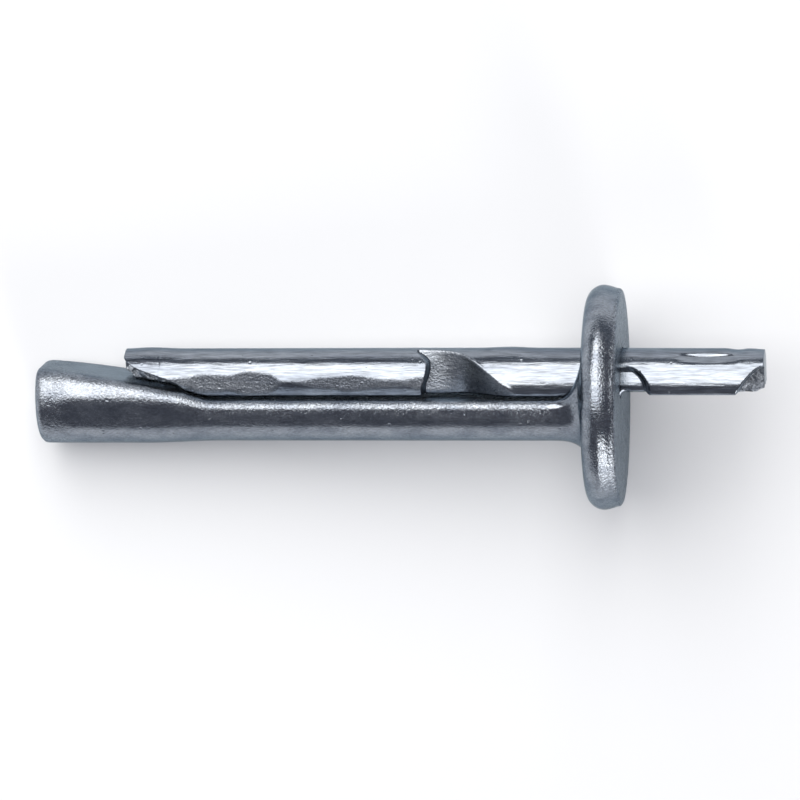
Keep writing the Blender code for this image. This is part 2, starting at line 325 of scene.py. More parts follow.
@dataclass(frozen=True)
class RestingPose:
    """How the anchor lies: on the rim of its head and on its tip, rolled a little."""

    roll: float = math.radians(10)
    head_radius: float = 7.25 * MM
    head_facets: int = 48
    head_offset: float = 0.21 * MM
    underside_corner: float = 0.9 * MM
    tip_radius: float = 3.15 * MM
    tip_reach: float = 34.85 * MM
    lift: float = 0.002 * MM

    @property
    def tilt(self) -> float:
        """The angle between the shank and the table."""
        drop = self.head_radius + self.head_offset * math.sin(self.roll) - self.tip_radius
        return math.atan2(drop, self.tip_reach + self.underside_corner)

    @property
    def rim_radius(self) -> float:
        """The head's radius over the flats of the solid's rim, which the visible head keeps inside."""
        return self.head_radius * math.cos(math.pi / self.head_facets)

    @property
    def turn(self) -> Euler:
        """The anchor's rotation on the table."""
        return Euler((self.roll, -self.tilt, 0.0))

    @property
    def place(self) -> Vector:
        """Where the shank's axis leaves the head's underside, from the frame's seat and the body's box."""
        low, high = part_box("anchor_body")
        seat = Vector(frame["record"]["mounts"][0]["pos_m"])
        level, climb = math.cos(self.tilt), math.sin(self.tilt)
        rim = (self.rim_radius - self.head_offset * math.sin(self.roll)) * level
        height = high.z - rim - self.underside_corner * climb + self.lift
        along = seat.x * level + seat.z * climb
        middle = (low.y + high.y) / 2 + self.head_offset * math.cos(self.roll)
        return Vector(((along - height * climb) / level, middle, height))

    @property
    def matrix(self) -> Matrix:
        """From the anchor's own axes to the table's."""
        return Matrix.Translation(self.place) @ self.turn.to_matrix().to_4x4()


class Grain(Enum):
    """How the steel was worked, which stretches its marks along the anchor."""

    FORGED = (0.55, 1.0, 1.0)
    DRAWN = (0.1, 1.0, 1.0)


class SteelBench(NodeBench):
    """A bench for a steel's finish, with the coordinates and the coarseness that its patterns need."""

    cloud_roughness: float = 0.6

    def __init__(self, tree: bpy.types.NodeTree, pose: RestingPose, grain: Grain) -> None:
        """Adds the coordinates.

        Args:
            tree: The tree to work on.
            pose: Turns the patterns with the anchor.
            grain: Stretches the patterns along it.
        """
        super().__init__(tree)
        where = self.add("ShaderNodeTexCoord", {}, "Object")
        turned = {"Vector": where, "Location": pose.place, "Rotation": pose.turn}
        self.anchor = self.add("ShaderNodeMapping", turned, "Vector", vector_type="TEXTURE")
        self.along = self.add("ShaderNodeMapping", {"Vector": self.anchor, "Scale": grain.value}, "Vector")
        self.coarse = self.add("ShaderNodeAttribute", {}, "Fac", attribute_name=COARSE)

    def clouds(self, space: Socket, size: float, detail: float) -> Socket:
        """Soft noise from 0 to 1, with lumps of one size."""
        inputs = {"Vector": space, "Scale": 1 / size, "Detail": detail, "Roughness": self.cloud_roughness}
        return self.add("ShaderNodeTexNoise", inputs, "Fac")


@dataclass(frozen=True)
class ZincPlate:
    """Bright blue-passivated zinc over steel, with the grain of the steel showing through."""

    colour: Triple = (0.275, 0.3, 0.335)
    shade: Triple = (0.19, 0.212, 0.248)
    edge_tint: Triple = (0.5, 0.57, 0.62)
    grain: Grain = Grain.FORGED
    cloud_range: Pair = (0.3, 0.7)
    patch_size: float = 1.1 * MM
    patch_range: Pair = (0.38, 0.6)
    streak_size: float = 0.4 * MM
    streak_height: float = 0.005 * MM
    speck_size: float = 0.14 * MM
    speck_height: float = 0.07 * MM
    calm: float = 0.08
    # fine light and dark specks in the plate's colour: partly the coarse steel's own uneven tone, partly
    # painted glints that stand in for sparkle
    glint_mottle_size: float = 0.11 * MM
    mottle_and_glints: Pair = (0.2, 0.6)
    nick_spacing: float = 0.5 * MM
    nick_depth: float = 0.016 * MM
    nick_reach: Pair = (0.05, 0.24)
    nick_share: Pair = (0.5, 1.0)
    smoothest: float = 0.11
    roughest: float = 0.24
    coarse_dullness: float = 0.1

    def material(self, name: str, pose: RestingPose) -> bpy.types.Material:
        """Builds the finish as nodes.

        Args:
            name: The material's name.
            pose: Turns the pattern with the anchor.

        Returns:
            The material.
        """
        finish = bpy.data.materials.new(name)
        finish.use_nodes = True
        bench = SteelBench(finish.node_tree, pose, self.grain)
        surface = {
            "Base Color": self.tone(bench),
            "Metallic": 1.0,
            "Roughness": self.dullness(bench),
            "Specular Tint": (*self.edge_tint, 1.0),
            "Normal": self.relief(bench),
        }
        bench.feed(finish.node_tree.nodes["Principled BSDF"], surface)
        return finish

    def tone(self, bench: SteelBench) -> Socket:
        """The plate's colour: two tones in patches, mottled finely; the fine mottle, strongest where the
        steel is coarse, is partly the steel's own tone and partly painted glints of sparkle.

        Args:
            bench: Where the nodes are added.

        Returns:
            The colour.
        """
        tint = bench.remap(bench.clouds(bench.along, self.patch_size, 4.0), self.patch_range, (0.0, 1.0))
        colour = bench.blend(tint, (*self.shade, 1.0), (*self.colour, 1.0))
        both = {
            "Factor": bench.coarse,
            "A": bench.clouds(bench.along, self.glint_mottle_size, 2.0),
            "B": bench.clouds(bench.anchor, self.glint_mottle_size, 2.0),
        }
        # painted glints: light and dark specks in the colour, scaled up where the steel is coarse, stand in
        # for sparkle as well as for the steel's own uneven tone
        mottling_and_glints = bench.add("ShaderNodeMix", both, "Result", data_type="FLOAT")
        mottling_and_glints = bench.remap(mottling_and_glints, self.cloud_range, (-1.0, 1.0))
        mottling_and_glints = bench.math("MULTIPLY", mottling_and_glints, bench.remap(bench.coarse, (0.0, 1.0), self.mottle_and_glints))
        mottled = {"Vector": colour, "Scale": bench.math("ADD", 1.0, mottling_and_glints)}
        return bench.add("ShaderNodeVectorMath", mottled, "Vector", operation="SCALE")

    def dullness(self, bench: SteelBench) -> Socket:
        """How dull the plate is: streaked, and duller where the steel is coarse.

        Args:
            bench: Where the nodes are added.

        Returns:
            The roughness.
        """
        streaks = bench.clouds(bench.along, self.streak_size, 3.0)
        plain = bench.remap(streaks, self.cloud_range, (self.smoothest, self.roughest))
        return bench.math("ADD", plain, bench.math("MULTIPLY", bench.coarse, self.coarse_dullness))

    def relief(self, bench: SteelBench) -> Socket:
        """The plate's bumps: streaks of the steel's grain, specks and nicks.

        Args:
            bench: Where the nodes are added.

        Returns:
            The normal.
        """
        streaks = bench.clouds(bench.along, self.streak_size, 2.0)
        bumps = {"Distance": self.streak_height, "Height": streaks}
        streaked = bench.add("ShaderNodeBump", bumps, "Normal")
        bumps = {
            "Strength": bench.remap(bench.coarse, (0.0, 1.0), (self.calm, 1.0)),
            "Distance": self.speck_height,
            "Height": bench.clouds(bench.anchor, self.speck_size, 2.0),
            "Normal": streaked,
        }
        speckled = bench.add("ShaderNodeBump", bumps, "Normal")
        bumps = {"Distance": self.nick_depth, "Height": self.nicks(bench), "Normal": speckled}
        return bench.add("ShaderNodeBump", bumps, "Normal")

    def nicks(self, bench: SteelBench) -> Socket:
        """Small dents in some cells of a scattered pattern.

        Args:
            bench: Where the nodes are added.

        Returns:
            A height, 1 on the plain surface and less in a dent.
        """
        scatter = bench.tree.nodes.new("ShaderNodeTexVoronoi")
        bench.feed(scatter, {"Vector": bench.anchor, "Scale": 1 / self.nick_spacing})
        pit = bench.remap(scatter.outputs["Distance"], self.nick_reach, (1.0, 0.0))
        chosen = bench.add("ShaderNodeSeparateColor", {"Color": scatter.outputs["Color"]}, "Red")
        depth = bench.remap(chosen, self.nick_share, (0.0, 1.0))
        return bench.math("SUBTRACT", 1.0, bench.math("MULTIPLY", pit, depth))


@dataclass(frozen=True)
class BodyWear:
    """How uneven and how coarse forging, clipping and handling left the body.

    A zone is its share of the coarseness, how far before its landmark it starts, and how wide it blends in.
    """

    uneven: Triple = (0.006 * MM, 1.3 * MM, 3.0)
    worn_edge: Triple = (0.012 * MM, 0.4 * MM, 7.0)
    everywhere: float = 0.1
    edge_share: float = 0.8
    edge_reach: float = 1.3 * MM
    rim: Triple = (0.15, 0.1 * MM, 0.5 * MM)
    top: Triple = (0.75, 0.25 * MM, 0.15 * MM)
    tip: Triple = (0.4, 2.6 * MM, 1.2 * MM)
    low: Triple = (0.25, -0.72, 0.1)


@dataclass
class AnchorBody:
    """The cold-formed body: a disc head, a half-round shank and a ramp that rises to its tip."""

    shank_radius: float = 3.0 * MM
    shank_length: float = 35.345 * MM
    edge_softness: float = 0.65 * MM
    tip_edge: float = 0.5 * MM
    tip_flat_edge: float = 0.15 * MM
    tip_swell: float = 0.15 * MM
    tip_swell_length: float = 5.0 * MM
    ramp_length: float = 11.8 * MM
    ramp_rise: float = 1.97 * MM
    ramp_curve: float = 1.35
    ramp_foot_blend: float = 2.4 * MM
    head_thickness: float = 2.25 * MM
    top_corner: float = 0.28 * MM
    rim_draft: float = 0.24 * MM
    rim_corner: float = 1.12 * MM
    collar_length: float = 2.1 * MM
    collar_flare: float = 1.5 * MM
    collar_curve: float = 2.5
    flat_end_rise: float = 6.0 * MM
    segments: int = 224
    tip_rings: int = 9
    ramp_rings: int = 76
    shank_rings: int = 120
    collar_rings: int = 25
    underside_rings: int = 10
    rim_corner_rings: int = 15
    rim_rings: int = 12
    top_corner_rings: int = 8
    top_rings: int = 26
    pose: RestingPose = field(default_factory=RestingPose)
    wear: BodyWear = field(default_factory=BodyWear)

    @property
    def ramp_foot(self) -> float:
        """Where the flat starts to climb."""
        return self.ramp_length - self.shank_length

    def ramp_height(self, x: Array) -> Array:
        """Height of the flat, with the ramp's foot blended into it.

        Args:
            x: Places along the anchor.

        Returns:
            The height at each place.
        """
        climbed = np.clip(self.ramp_foot - x, 0.0, self.ramp_length)
        rise = self.ramp_rise * (1 - (1 - climbed / self.ramp_length) ** self.ramp_curve)
        return rise * smooth_step(climbed / self.ramp_foot_blend)

    def shank_ring(self, x: float, rounding: float = 0.0, shrink: float = 1.0) -> tuple[float, ...]:
        """One ring of the shank or its collar.

        Args:
            x: Where the ring stands.
            rounding: Share of the tip's rounded edge by which the ring is drawn in.
            shrink: Its size about its own middle, below 1 on the end face.

        Returns:
            The ring's x, radius, flat, shrink and sideways shift.
        """
        share = max(0.0, 1 + x / self.collar_length)
        fillet = 1 - max(0.0, 1 - share**self.collar_curve) ** (1 / self.collar_curve)
        swell = self.tip_swell * float(smooth_step((self.ramp_foot - x) / self.tip_swell_length))
        radius = self.shank_radius + self.collar_flare * fillet + swell - self.tip_edge * rounding
        flat = float(self.ramp_height(x)) + self.flat_end_rise * fillet - self.tip_flat_edge * rounding
        return x, radius, flat, shrink, 0.0

    def rings(self) -> Array:
        """Every ring, from the middle of the tip's face round to the middle of the head's top."""
        tip = -self.shank_length
        shrinks = np.linspace(0.0, 1.0, self.tip_rings)[:-1]
        rings = [self.shank_ring(tip, 1.0, shrink) for shrink in shrinks]
        for turn in np.linspace(0.0, math.pi / 2, self.tip_rings)[:-1]:
            x = tip + self.tip_edge * (1 - math.cos(turn))
            rings.append(self.shank_ring(x, 1 - math.sin(turn)))
        ramp = np.linspace(tip + self.tip_edge, self.ramp_foot, self.ramp_rings)[:-1]
        shank = np.linspace(self.ramp_foot, -self.collar_length, self.shank_rings)[:-1]
        rings += [self.shank_ring(x) for x in (*ramp, *shank)]
        turns = np.linspace(0.0, math.pi / 2, self.collar_rings)[:-1]
        rings += [self.shank_ring(-self.collar_length * math.cos(turn)) for turn in turns]
        rings += self.head_rings()
        return np.array(rings)

    def rim_profile(self, share: float) -> Pair:
        """The rim's profile, which starts level with the table, so that it stays under the solid's rim.

        Args:
            share: Share of the rim's width, from the underside.

        Returns:
            How far the rim has drawn in there, and its lean.
        """
        width = self.head_thickness - self.rim_corner - self.top_corner
        start = math.tan(self.pose.tilt)
        growth = 2 * (self.rim_draft / width - start)
        return width * (start * share + growth * share**2 / 2), math.atan(start + growth * share)

    def head_rings(self) -> list[tuple[float, ...]]:
        """The round rings of the head: its underside, its rim and its top."""
        corner, shift = self.rim_corner, -self.pose.head_offset
        rim = self.pose.rim_radius - (corner - self.pose.underside_corner) * math.tan(self.pose.tilt)
        no_flat = 2 * rim
        start = self.shank_radius + self.collar_flare
        shares = np.linspace(0.0, 1.0, self.underside_rings)[:-1]
        rings = [(0.0, start + (rim - corner - start) * s, no_flat, 1.0, shift * s) for s in shares]
        for turn in np.linspace(0.0, math.pi / 2, self.rim_corner_rings)[:-1]:
            reach = rim - corner * (1 - math.sin(turn))
            rings.append((corner * (1 - math.cos(turn)), reach, no_flat, 1.0, shift))
        width = self.head_thickness - corner - self.top_corner
        for share in np.linspace(0.0, 1.0, self.rim_rings)[:-1]:
            drawn_in, _ = self.rim_profile(share)
            rings.append((corner + width * share, rim - drawn_in, no_flat, 1.0, shift))
        drawn_in, lean = self.rim_profile(1.0)
        top = rim - drawn_in - self.top_corner * math.cos(lean)
        for turn in np.linspace(math.pi / 2 - lean, 0.0, self.top_corner_rings):
            x = self.head_thickness - self.top_corner * (1 - math.cos(turn))
            rings.append((x, top + self.top_corner * math.sin(turn), no_flat, 1.0, shift))
        shrinks = np.linspace(1.0, 0.0, self.top_rings)[1:]
        return rings + [(self.head_thickness, top, no_flat, shrink, shift) for shrink in shrinks]

    def edge_distance(self, y: Array, z: Array, radius: Array, flat: Array) -> Array:
        """Distance from the long edge between the round and the flat."""
        return np.abs(np.hypot(y, z) - radius - (y - flat))

    def place_points(self, rings: Array, angles: Array) -> Array:
        """The places of the blank's points.

        Args:
            rings: The number of each point's ring.
            angles: Each point's angle.

        Returns:
            Rows of x, y and z along the anchor's own axes.
        """
        x, radius, flat, shrink, shift = self.rings()[rings].T
        middle = np.column_stack([(np.minimum(flat, radius) - radius) / 2, np.zeros(len(x))])
        aim = radius[:, None] * np.column_stack([np.sin(angles), np.cos(angles)])

        def outside(y: Array, z: Array) -> Array:
            """Distance outside the section of each point's own ring."""
            return smooth_max(np.hypot(y, z) - radius, y - flat, self.edge_softness)

        surface = surface_along(outside, middle, aim)
        spots = np.column_stack([x, surface])
        worn = np.clip(1 - self.edge_distance(*surface.T, radius, flat) / self.edge_softness, 0.0, 1.0)
        dip = dips(spots, self.wear.uneven) + worn * dips(spots, self.wear.worn_edge)
        surface -= (surface - middle) * (dip / radius)[:, None]
        section = middle + shrink[:, None] * (surface - middle)
        return np.column_stack([x, section[:, 0] + shift, section[:, 1]])

    def coarseness(self, spots: Array) -> Array:
        """How coarse the steel is: most on the head's top, along the long edges and at the tip.

        Args:
            spots: Rows of x, y and z along the anchor's own axes.

        Returns:
            The coarseness at each place, 0 where the steel is calm.
        """
        x, y, z = spots.T
        wear = self.wear
        flat = self.ramp_height(x)
        edge = np.clip(1 - self.edge_distance(y, z, self.shank_radius, flat) / wear.edge_reach, 0.0, 1.0)
        edge = np.where(x < -self.collar_length, edge, 0.0)
        coarse = wear.everywhere + wear.edge_share * edge
        zones = {
            wear.rim: x,
            wear.top: x - self.head_thickness,
            wear.tip: -self.shank_length - x,
            wear.low: -y / self.shank_radius,
        }
        for (share, start, width), past in zones.items():
            coarse += share * smooth_step((past + start) / width)
        return coarse

    def build(self, hole: Piece) -> Piece:
        """Shapes the body and cuts the pin's hole through it.

        Args:
            hole: The solid that the hole takes away. It is removed afterwards.

        Returns:
            The finished piece, lying on the table.
        """
        bm = draw_blank(len(self.rings()), self.segments)
        shape_blank(bm, self.place_points)
        piece = finish_mesh("forged_body", bm)
        cut_away(piece, hole)
        mark_coarse(piece, self.coarseness)
        piece.data.transform(self.pose.matrix)
        return piece

    def dress(self, piece: Piece, finish: ZincPlate) -> None:
        """Gives the body its finish and its place in the frame.

        Args:
            piece: The finished body.
            finish: Its plating.
        """
        piece.data.materials.clear()
        piece.data.materials.append(finish.material("zinc_on_forged_steel", self.pose))
        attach(piece, "root")
        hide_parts("anchor_body")


@dataclass(frozen=True)
class Shears:
    """What the shears left on the lower corners of the pin's ends.

    The heights and lengths of the two cut faces are in millimetres, as their methods need them.
    """

    back: float = 0.55 * MM
    lean: float = 0.2
    lean_from: float = 2.0 * MM
    tip_height: float = 0.92
    tip_slope: float = 0.17
    tip_lip: float = 0.44
    tip_lip_length: float = 0.35
    tip_length: float = 4.2
    tip_fade: float = 0.8
    end_height: float = 2.04
    end_drop: float = 0.7
    end_curve: float = 1.7
    tip_tear: Pair = (0.42 * MM, 1.4)
    end_tear: Pair = (0.45 * MM, 1.5)
    back_waves: Waves = (0.05 * MM, 0.13 * MM, 0.2 * MM, 2.0)
    torn_waves: Waves = (0.08 * MM, 0.09 * MM, 0.21 * MM, 2.2)

    def tip_cut(self, reach: Array) -> Array:
        """The cut face at the tip.

        Args:
            reach: How far places are from the tip.

        Returns:
            The face's height over the pin's underside.
        """
        steps = reach / MM
        lip = self.tip_lip * np.exp(-np.maximum(steps, 0.0) / self.tip_lip_length)
        height = self.tip_height - self.tip_slope * steps + lip
        return MM * height * smooth_step((self.tip_length - steps) / self.tip_fade)

    def end_cut(self, reach: Array) -> Array:
        """Height of the cut face at the struck end over the pin's underside, at a reach from the end."""
        return MM * (self.end_height - self.end_drop * np.maximum(reach / MM, 0.0) ** self.end_curve)


@dataclass
class DrivePin:
    """The drive pin: a wire with one flat side, notched and pressed on its near side, sheared at its ends.

    The core is where the rays to the pin's surface start. Its height over the shank's flat, and its shift
    up and sideways at the tip, are in millimetres.
    """

    body: AnchorBody
    radius: float = 2.2 * MM
    height: float = 2.68 * MM
    edge_softness: float = 0.3 * MM
    seat_gap: float = 0.3 * MM
    contact_gap: float = 0.08 * MM
    hole_clearance: float = 0.07 * MM
    hole_softness: float = 0.4 * MM
    on_ramp: float = 6.2 * MM
    proud: float = 9.095 * MM
    far_side: Knots = (
        (-29.8, -0.02), (-28.2, 0.05), (-26.0, -0.02), (-7.0, 0.0), (-4.9, 0.06), (-3.0, 0.0),
        (8.8, -0.04), (9.7, -0.13), (10.4, -0.06), (11.4, -0.12),
    )
    far_side_from: float = math.radians(45)
    far_side_blend: float = 0.6
    lower_face: Pair = (math.radians(-20), 1.945 * MM)
    lower_face_softness: float = 0.04 * MM
    underside_softness: float = 0.12 * MM
    scoop_angle: float = math.radians(-4)
    scoop_softness: float = 0.03 * MM
    no_scoop: float = -0.1 * MM
    scoop_depths: Knots = (
        (-28.3, -0.06), (-27.0, 0.1), (-25.5, 0.13), (-24.8, 0.22), (-23.5, 0.21), (-22.9, 0.19),
        (-21.6, 0.33), (-20.6, 0.27), (-19.1, 0.02), (-18.3, 0.05), (-16.9, 0.13), (-15.0, 0.19),
        (-12.8, 0.1), (-11.6, 0.08), (-10.5, 0.15),
    )
    notch_wall: float = -10.17 * MM
    notch_length: float = 5.7 * MM
    notch_level: float = 2.1 * MM
    notch_depth: float = 1.6 * MM
    notch_climb: float = 0.85
    notch_angle: float = math.radians(5)
    notch_twist: float = math.radians(-25)
    notch_twist_speed: float = 1.5
    notch_lean: float = 0.1
    notch_nose: float = 0.8 * MM
    notch_nose_height: float = 1.3 * MM
    notch_nose_run: float = 0.75 * MM
    notch_nose_below: float = 0.4
    notch_softness: float = 0.02 * MM
    notch_clear: float = 0.1 * MM
    burr: float = 0.035 * MM
    burr_width: float = 0.05 * MM
    burr_start: float = 0.3
    burr_stop: float = 1.02
    burr_fade: float = 0.1
    stop_mark: Pair = (-27.44 * MM, 0.05 * MM)
    stop_mark_depth: float = 0.02 * MM
    grip_depth: float = 0.26 * MM
    grip_reach: float = 1.9 * MM
    grip_wall: float = 0.3 * MM
    grip_run: Pair = (3.0 * MM, 2.5 * MM)
    grip_middle: float = math.radians(-12)
    grip_span: Pair = (math.radians(-34), math.radians(39))
    grip_fades: Pair = (math.radians(6), math.radians(13))
    grip_lift: float = 0.22 * MM
    lifted_reach: float = 0.95
    lifted_wall: float = 0.2 * MM
    lifted_side: Pair = (0.6 * MM, 0.9 * MM)
    proud_lift: float = 0.16 * MM
    proud_wall: float = 0.3 * MM
    dent_depth: float = 0.16 * MM
    dent_curve: float = 0.7
    dent_ends: Pair = (5.7 * MM, 9.8 * MM)
    dent_angles: Triple = (math.radians(38), math.radians(60), math.radians(69))
    uneven: Triple = (0.002 * MM, 0.6 * MM, 11.0)
    uneven_stretch: Triple = (0.3, 1.0, 1.0)
    coarse_dips: Triple = (0.004 * MM, 0.35 * MM, 5.0)
    coarse_reach: float = 0.06 * MM
    coarse_fade: float = 0.04 * MM
    pressed_share: float = 0.75
    chiselled_share: float = 0.6
    core_height: float = 2.0
    core_tip_shift: Pair = (0.6, -0.5)
    core_tip_length: float = 1.8 * MM
    segments: int = 168
    end_rings: int = 9
    shears: Shears = field(default_factory=Shears)

    @property
    def centre(self) -> float:
        """Height of the round side's centre over the shank's flat."""
        return self.seat_gap + self.height - self.radius

    @property
    def tip(self) -> float:
        """Where the pin starts, part way up the ramp."""
        return self.body.ramp_foot - self.on_ramp

    @property
    def end(self) -> float:
        """Where the struck end is."""
        return self.body.head_thickness + self.proud

    def underside(self, x: Array) -> Array:
        """Height of the pin's underside, which lies on the flat and on the ramp."""
        return self.body.ramp_height(x) + self.contact_gap

    def rings(self) -> Array:
        """Every ring, as its x and its shrink, closer together where the pin is notched or sheared."""
        wall = self.notch_wall
        spacings = (
            (self.tip, 0.06 * MM),
            (self.tip + 3.2 * MM, 0.14 * MM),
            (wall - 0.6 * MM, 0.04 * MM),
            (wall + 0.4 * MM, 0.09 * MM),
            (wall + self.notch_length, 0.13 * MM),
            (self.end - 2.2 * MM, 0.06 * MM),
        )
        stops = [start for start, _ in spacings[1:]] + [self.end]
        places = [np.arange(start, stop, step) for (start, step), stop in zip(spacings, stops)]
        places = np.concatenate([*places, [self.end]])
        shrinks = np.linspace(0.0, 1.0, self.end_rings)[:-1]
        tip = [(self.tip, share) for share in shrinks]
        end = [(self.end, share) for share in reversed(shrinks)]
        return np.array(tip + [(x, 1.0) for x in places] + end)

    def place_points(self, rings: Array, angles: Array) -> Array:
        """The places of the blank's points.

        Args:
            rings: The number of each point's ring.
            angles: Each point's angle.

        Returns:
            Rows of x, y and z along the anchor's own axes.
        """
        x, shrink = self.rings()[rings].T
        near_tip = smooth_step((self.tip + self.core_tip_length - x) / self.core_tip_length)
        up, aside = self.core_tip_shift
        middle = np.column_stack([(self.core_height + up * near_tip) * MM, aside * MM * near_tip])
        aim = self.radius * np.column_stack([np.sin(angles), np.cos(angles)])
        aim[:, 0] += self.centre
        surface = surface_along(lambda y, z: PinSection(self, x, y, z).outside, middle, aim)
        spots = np.column_stack([x, surface])
        dip = dips(spots * self.uneven_stretch, self.uneven)
        dip += self.coarseness(spots) * dips(spots, self.coarse_dips)
        surface -= (surface - middle) * (dip / self.radius)[:, None]
        return np.column_stack([x, middle + shrink[:, None] * (surface - middle)])

    def close_to(self, distance: Array) -> Array:
        """1 close to the surface of a cut and in what it took away, 0 deeper in the metal."""
        return smooth_step((distance + self.coarse_reach) / self.coarse_fade)

    def coarseness(self, spots: Array) -> Array:
        """How coarse the steel is: most where it was sheared or torn, less where it was pressed.

        Args:
            spots: Rows of x, y and z along the anchor's own axes.

        Returns:
            The coarseness at each place, from 0 to 1.
        """
        section = PinSection(self, *spots.T)
        coarse = self.pressed_share * self.close_to(section.scoop)
        coarse = np.maximum(coarse, self.chiselled_share * self.close_to(section.notch))
        for towards in (1, -1):
            coarse = np.maximum(coarse, self.close_to(section.sheared(towards)))
        return coarse

    def outline(self, clearance: float) -> list[Pair]:
        """The wire's plain section, grown by a clearance.

        Args:
            clearance: How far the outline stands off the wire.

        Returns:
            Points of y and z.
        """
        angles = np.linspace(-math.pi, math.pi, self.segments, endpoint=False)
        middle = np.column_stack([np.full(self.segments, self.core_height * MM), np.zeros(self.segments)])
        radius = self.radius + clearance
        aim = radius * np.column_stack([np.sin(angles), np.cos(angles)])
        aim[:, 0] += self.centre

        def outside(y: Array, z: Array) -> Array:
            """Distance outside the grown section."""
            rounded = np.hypot(y - self.centre, z) - radius
            return smooth_max(rounded, self.contact_gap - clearance - y, self.hole_softness)

        return [tuple(spot) for spot in surface_along(outside, middle, aim)]

    def hole(self) -> Piece:
        """The solid that the pin's hole takes out of the head and its collar."""
        start, stop = -2 * self.body.collar_length, 2 * self.body.head_thickness
        bm = bmesh.new()
        base = bm.faces.new([bm.verts.new((start, y, z)) for y, z in self.outline(self.hole_clearance)])
        grown = bmesh.ops.extrude_face_region(bm, geom=[base])["geom"]
        moved = [part for part in grown if isinstance(part, bmesh.types.BMVert)]
        bmesh.ops.translate(bm, verts=moved, vec=(stop - start, 0.0, 0.0))
        bmesh.ops.recalc_face_normals(bm, faces=bm.faces)
        return finish_mesh("pin_hole", bm)

    def build(self) -> Piece:
        """Shapes the pin and lays it on the table."""
        bm = draw_blank(len(self.rings()), self.segments)
        shape_blank(bm, self.place_points)
        piece = finish_mesh("pressed_pin", bm)
        mark_coarse(piece, self.coarseness)
        piece.data.transform(self.body.pose.matrix)
        return piece

    def dress(self, piece: Piece, finish: ZincPlate) -> None:
        """Gives the pin its finish and its place in the frame.

        Args:
            piece: The finished pin.
            finish: Its plating.
        """
        piece.data.materials.append(finish.material("zinc_on_drawn_steel", self.body.pose))
        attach(piece, "root")
        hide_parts("drive_pin")


